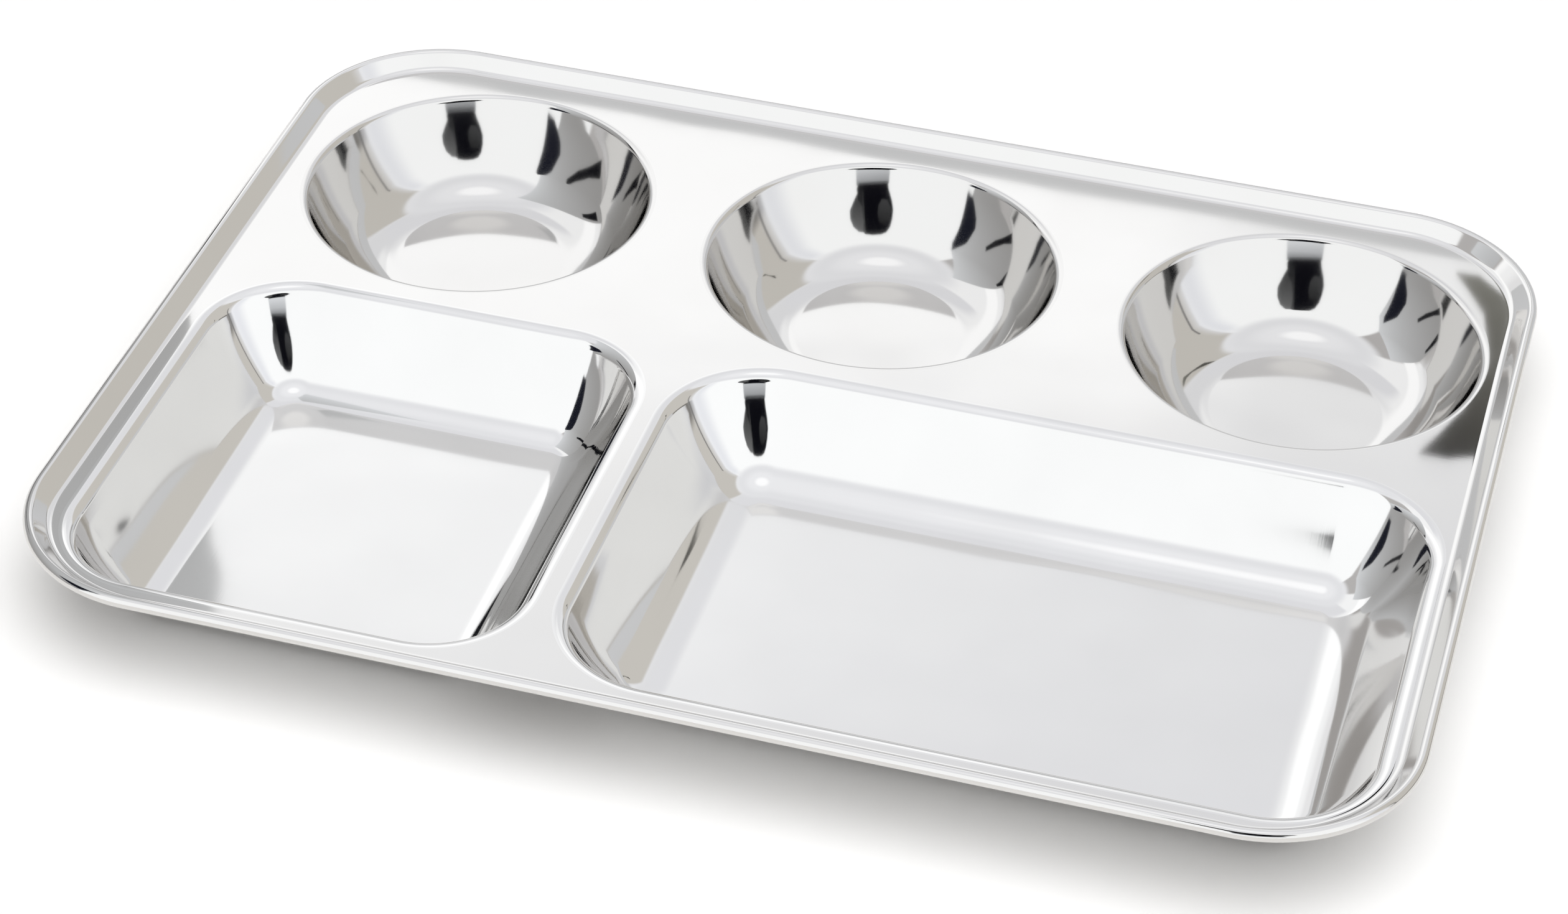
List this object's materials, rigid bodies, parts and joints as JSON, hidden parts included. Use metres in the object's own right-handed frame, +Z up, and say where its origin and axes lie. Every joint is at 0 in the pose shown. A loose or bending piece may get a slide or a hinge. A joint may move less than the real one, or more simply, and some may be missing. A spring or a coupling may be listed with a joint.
{
  "type": "divided compartment plate",
  "caption": "Rectangular polished steel serving tray with round bowls behind two rectangular wells, a raised border and a rolled edge.",
  "frame": {"origin": "on the table under the middle of the tray", "axes": "+X to the right along the long side, +Y away from the eater towards the row of bowls, +Z up"},
  "size_m": [0.34, 0.253, 0.028],
  "materials": {
    "polished_sheet": "polished",
    "bright_wire": "satin"
  },
  "bodies": {
    "root": {"deck_plate": "polished_sheet", "bowl_left": "polished_sheet", "bowl_middle": "polished_sheet", "bowl_right": "polished_sheet", "small_well": "polished_sheet", "large_well": "polished_sheet", "border_wall": "polished_sheet", "rolled_edge": "polished_sheet", "rim_wire": "bright_wire"}
  },
  "joints": []
}
